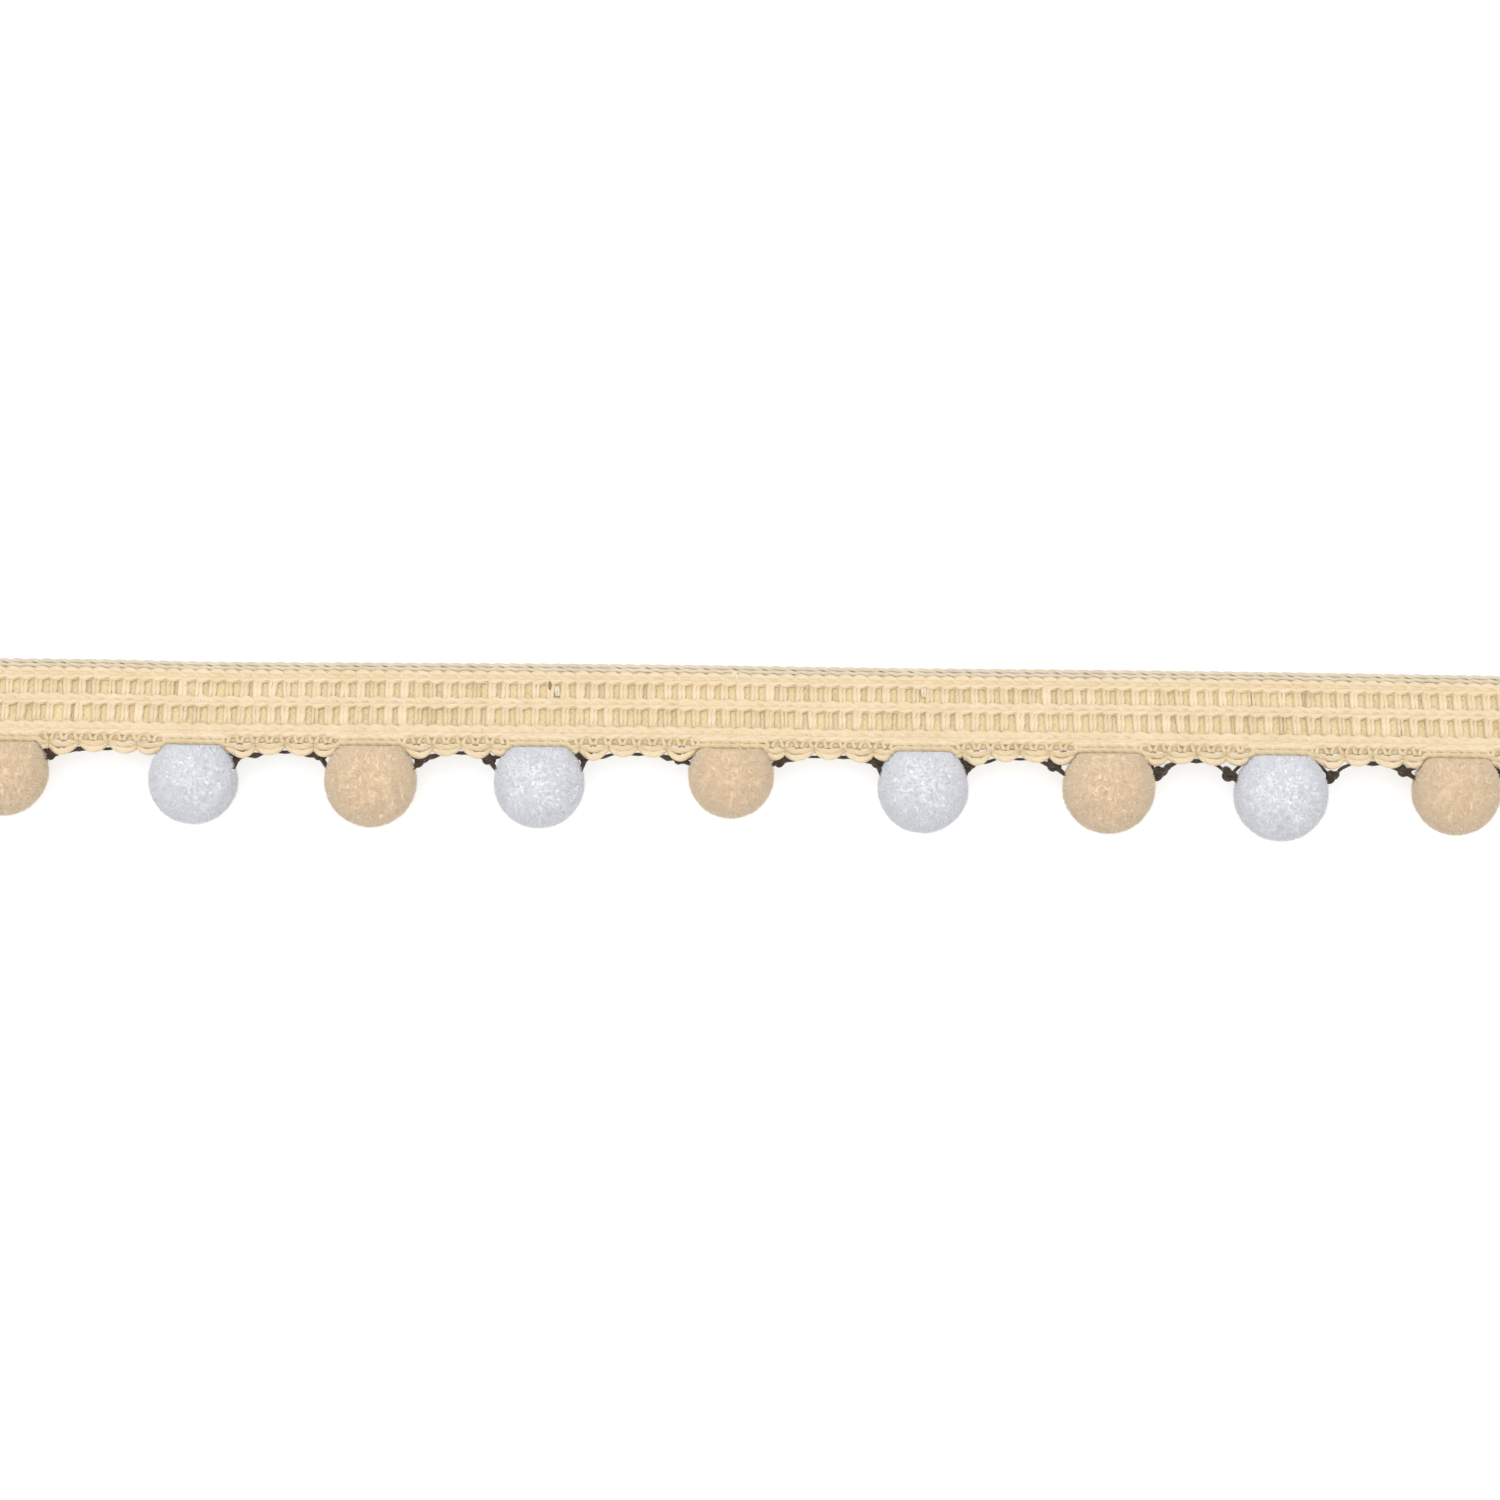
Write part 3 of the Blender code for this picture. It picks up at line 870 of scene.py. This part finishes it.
def make_tape():
    tape_yarn = yarn_material("tape_yarn_twisted", TAPE_COLOURS)
    ground = make_ground(knit_material("tape_ground_knit", GROUND_COLOURS))
    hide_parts("tape")

    wales = Yarns()
    for wale in WALES:
        make_chain(wales, wale)
    rungs = Yarns()
    for band in LADDERS:
        make_rungs(rungs, band)
    selvedge = Yarns()
    make_selvedge(selvedge)
    edges = Yarns(sides=7)
    make_lacing(edges)
    make_picots(edges)
    back = Yarns()
    make_back(back)
    pale_ties = Yarns()
    make_pale_ties(pale_ties)
    # A dark strand as painted shade of a hole in the ladder.
    hole_shade_strands = Yarns()
    make_hole_shade(hole_shade_strands)
    # Dark thread and knots as painted shade under the picots and at the balls' shoulders.
    shade_threads = Yarns()
    make_shade_thread(shade_threads)
    make_shade_knots(shade_threads)
    fuzz = Yarns(sides=3)
    make_fuzz(fuzz)
    with_pieces = [
        wales.make("tape_wales", tape_yarn),
        rungs.make("tape_rungs", tape_yarn),
        edges.make("tape_picots", tape_yarn),
        selvedge.make("tape_selvedge", yarn_material("selvedge_yarn", SELVEDGE_COLOURS)),
        fuzz.make("tape_fuzz", fuzz_material("tape_fuzz_fibres", FUZZ_COLOURS)),
        back.make("tape_back", tape_yarn),
        pale_ties.make("tape_glints", yarn_material("tie_thread", PALE_TIE_COLOURS)),
        hole_shade_strands.make("tape_painted_hole_shade", yarn_material("hole_shade_yarn", HOLE_SHADE_COLOURS)),
        shade_threads.make("painted_shade_thread", yarn_material("painted_shade_yarn", SHADE_THREAD_COLOURS)),
    ]


# The balls

def ball_centre(ball):
    across = float(edge_across(ball.along)) - ball.below
    return np.array((ball.along, across, ball.radius - FLAT_SPOT_DEPTH)) + np.array(SHIFT)


def pile_limit(ball, directions):
    """How far pile may stand out in each direction before it meets the surface or the tape."""
    centre = ball_centre(ball)
    limit = np.full(len(directions), 1.2 * ball.radius)
    down = directions[:, 2] < 0
    limit[down] = np.minimum(limit[down], centre[2] / -directions[down, 2])
    for share in np.linspace(1.15, 0.55, 61):
        points = centre + directions * share * ball.radius
        along = points[:, 0] - SHIFT.x
        below = edge_across(along) - (points[:, 1] - SHIFT.y)
        free = (below > PILE_WALL) | (points[:, 2] < back_height(along, below) - PILE_GAP)
        blocked = ~free
        limit[blocked] = np.minimum(limit[blocked], share * ball.radius - 0.02 * MM)
    return limit


def unevenness(directions, size, seed):
    offset = Vector((seed * 7.3, seed * 3.1, seed * 1.7))
    return np.array([noise.noise(Vector(d) * size + offset) for d in directions])


def pile_core(number, ball):
    """The slightly uneven core under the fibres, as points and faces."""
    shape = bmesh.new()
    bmesh.ops.create_icosphere(shape, subdivisions=5, radius=1.0)
    ways = normalised(np.array([vertex.co[:] for vertex in shape.verts]))
    faces = [[vertex.index for vertex in face.verts] for face in shape.faces]
    shape.free()
    reach = CORE_SHARE * ball.radius * (1 + 0.02 * unevenness(ways, 6.0, number))
    reach = np.minimum(reach, pile_limit(ball, ways) - PILE_DEPTH)
    return ball_centre(ball) + ways * reach[:, None], faces


def even_ways(count):
    """Directions spread evenly over a sphere, on a spiral from its top to its foot."""
    index = np.arange(count) + 0.5
    height = 1 - 2 * index / count
    angle = pi * (1 + sqrt(5)) * index
    level = np.sqrt(1 - height * height)
    return np.stack((level * np.cos(angle), level * np.sin(angle), height), axis=1)


def pile_fibres(number, ball):
    """Fibres that stand out of the core, leaning a little: each has three root points and
    a tip. Gives their points and tones, as arrays with a row for each fibre."""
    draw = np.random.default_rng(100 + number)
    centre = ball_centre(ball)
    root_way = even_ways(FIBRES)
    root_way = normalised(root_way + draw.normal(0, 0.01, root_way.shape))
    tip_way = normalised(root_way + draw.normal(0, FIBRE_LEAN, root_way.shape))
    wave = unevenness(root_way, 3.0, number) * 0.015 + draw.normal(0, 0.012, FIBRES)
    tip_reach = np.minimum(ball.radius * (FIBRE_REACH + wave), pile_limit(ball, tip_way))
    root_reach = np.minimum(ROOT_SHARE * ball.radius, tip_reach - 2 * PILE_DEPTH)
    side_a = normalised(np.cross(root_way, draw.normal(0, 1, root_way.shape)))
    side_b = np.cross(root_way, side_a)
    corners = []
    for k in range(3):
        turn = 2 * pi * k / 3
        spread = np.cos(turn) * side_a + np.sin(turn) * side_b
        corners.append(centre + root_way * root_reach[:, None] + FIBRE_RADIUS * spread)
    corners.append(centre + tip_way * tip_reach[:, None])
    own = draw.normal(0, 0.06, (FIBRES, 1))
    tones = np.array([ROOT_TONE, ROOT_TONE, ROOT_TONE, TIP_TONE]) + own
    return np.stack(corners, axis=1), tones


def make_pile(number, ball, material):
    """One ball: a core, and the fine fibres that stand out of it."""
    core, faces = pile_core(number, ball)
    fibres, fibre_tones = pile_fibres(number, ball)
    first = len(core) + np.arange(FIBRES)[:, None] * 4
    for k in range(3):
        faces += (first + np.array([k, (k + 1) % 3, 3])).tolist()
    piece = make_piece(
        f"pile_{number}",
        np.concatenate((core, fibres.reshape(-1, 3))),
        faces,
        material,
        tones=np.concatenate((np.full(len(core), CORE_TONE), fibre_tones.reshape(-1))),
    )
    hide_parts(f"pompom_{number}")


def make_balls():
    materials = {
        "white_pile": pile_material("white_pile_fibres", WHITE_COLOURS, WHITE_HALO),
        "tan_pile": pile_material("tan_pile_fibres", TAN_COLOURS, TAN_HALO),
    }
    for number, ball in enumerate(BALLS, start=1):
        make_pile(number, ball, materials[ball.pile])


# Light, floor and camera

def make_floor():
    material, tree, shader = new_material("floor_paper")
    colour_by_tone(tree, shader, noise_node(tree, 40.0, 3.0), TABLE_COLOURS)
    set_inputs(shader, {"Roughness": 0.9, "Specular IOR Level": 0.1})
    set_inputs(shader, {"Emission Color": (1.0, 1.0, 1.0, 1.0), "Emission Strength": TABLE_GLOW})
    data = bpy.data.meshes.new("floor")
    corners = [(x * TABLE_HALF, y * TABLE_HALF, 0) for x, y in ((-1, -1), (1, -1), (1, 1), (-1, 1))]
    data.from_pydata(corners, [], [(0, 1, 2, 3)])
    data.materials.append(material)
    floor = bpy.data.objects.new("floor", data)
    floor.location.z = -TABLE_DROP
    bpy.context.scene.collection.objects.link(floor)


def make_light():
    world = bpy.data.worlds.new("studio")
    world.use_nodes = True
    background = world.node_tree.nodes["Background"]
    set_inputs(background, {"Color": (1.0, 1.0, 1.0, 1.0), "Strength": WORLD_LIGHT})
    bpy.context.scene.world = world
    light = bpy.data.lights.new("key", "AREA")
    light.shape = "DISK"
    light.size = LAMP_SIZE
    light.energy = LAMP_POWER
    lamp = bpy.data.objects.new("key", light)
    lamp.location = LAMP_PLACE
    lamp.rotation_euler = (-LAMP_PLACE).to_track_quat("-Z", "Y").to_euler()
    bpy.context.scene.collection.objects.link(lamp)


def make_camera():
    camera = bpy.data.cameras.new("camera")
    camera.sensor_width = SENSOR
    camera.lens = LENS
    camera.clip_start = 0.01
    camera.clip_end = 20.0
    holder = bpy.data.objects.new("camera", camera)
    distance = PICTURE_WIDTH * LENS / SENSOR
    holder.location = PICTURE_MIDDLE + SHIFT + Vector((0, 0, distance))
    bpy.context.scene.collection.objects.link(holder)
    bpy.context.scene.camera = holder


make_tape()
make_balls()
make_floor()
make_light()
make_camera()
bpy.context.scene.view_settings.view_transform = "Standard"
